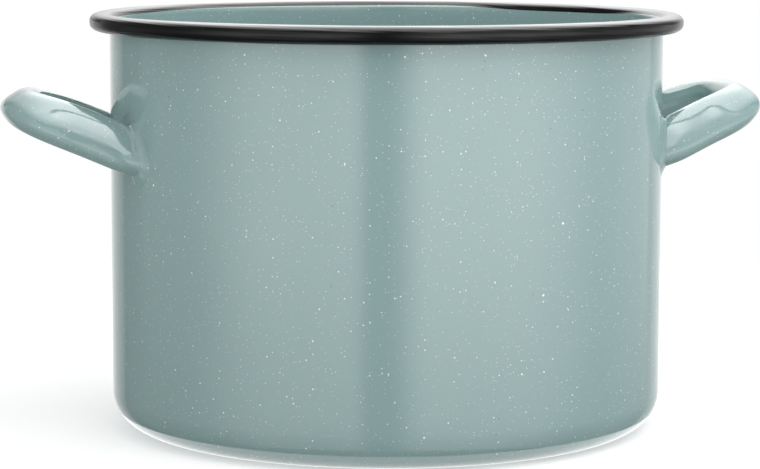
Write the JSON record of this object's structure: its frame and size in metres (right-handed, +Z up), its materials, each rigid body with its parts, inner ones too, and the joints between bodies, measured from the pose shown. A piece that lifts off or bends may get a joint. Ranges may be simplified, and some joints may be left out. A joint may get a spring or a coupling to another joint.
{
  "type": "cooking pot",
  "caption": "Straight-sided enamelled steel cooking pot, open at the top, with a rolled black rim and upturned loop handles on opposite sides, for boiling and simmering on a stovetop.",
  "frame": {"origin": "middle of the base, on the plane of the table", "axes": "+Z up along the pot's axis, +X towards the right handle, +Y towards the back"},
  "size_m": [0.363, 0.279, 0.195],
  "materials": {
    "speckled_enamel": "glossy blue-green vitreous enamel with fine white specks",
    "black_enamel": "glossy black vitreous enamel"
  },
  "bodies": {
    "root": {"vessel": "speckled_enamel", "rim_band": "black_enamel", "handle_right": "speckled_enamel", "handle_left": "speckled_enamel", "weld_right_front": "speckled_enamel", "weld_right_back": "speckled_enamel", "weld_left_front": "speckled_enamel", "weld_left_back": "speckled_enamel"}
  },
  "joints": []
}
